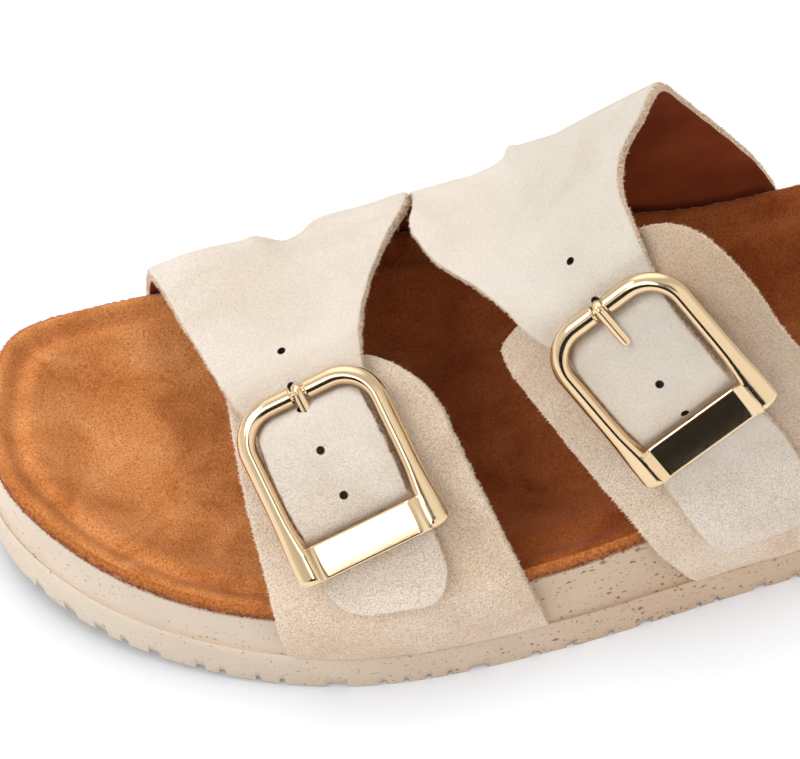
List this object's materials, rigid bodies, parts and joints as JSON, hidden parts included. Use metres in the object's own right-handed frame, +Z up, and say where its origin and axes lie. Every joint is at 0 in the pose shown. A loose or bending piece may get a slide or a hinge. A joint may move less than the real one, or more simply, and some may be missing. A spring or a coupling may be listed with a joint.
{
  "type": "slide sandal",
  "caption": "Left open-toe, open-heel slide sandal: wide buckled suede straps over a cupped suede footbed on a grooved foam sole.",
  "frame": {"origin": "middle of the bounding box at the floor the sole stands on", "axes": "+X from heel to toe, +Y to the outer side of the foot, +Z up"},
  "size_m": [0.2522, 0.0954, 0.0905],
  "materials": {
    "outsole": "matt moulded foam with brown flecks",
    "midsole": "matt moulded foam with brown flecks",
    "insole": "napped caramel suede",
    "front_strap": "napped cream suede",
    "front_strap_base": "napped cream suede",
    "rear_strap": "napped cream suede",
    "rear_strap_base": "napped cream suede",
    "front_buckle": "polished light gold",
    "front_buckle_prong": "polished light gold",
    "rear_buckle": "polished light gold",
    "rear_buckle_prong": "polished light gold"
  },
  "bodies": {
    "root": {"outsole": "outsole", "midsole": "midsole", "insole": "insole", "front_strap": "front_strap", "front_strap_base": "front_strap_base", "rear_strap": "rear_strap", "rear_strap_base": "rear_strap_base", "front_buckle": "front_buckle", "front_buckle_prong": "front_buckle_prong", "rear_buckle": "rear_buckle", "rear_buckle_prong": "rear_buckle_prong"}
  },
  "joints": []
}
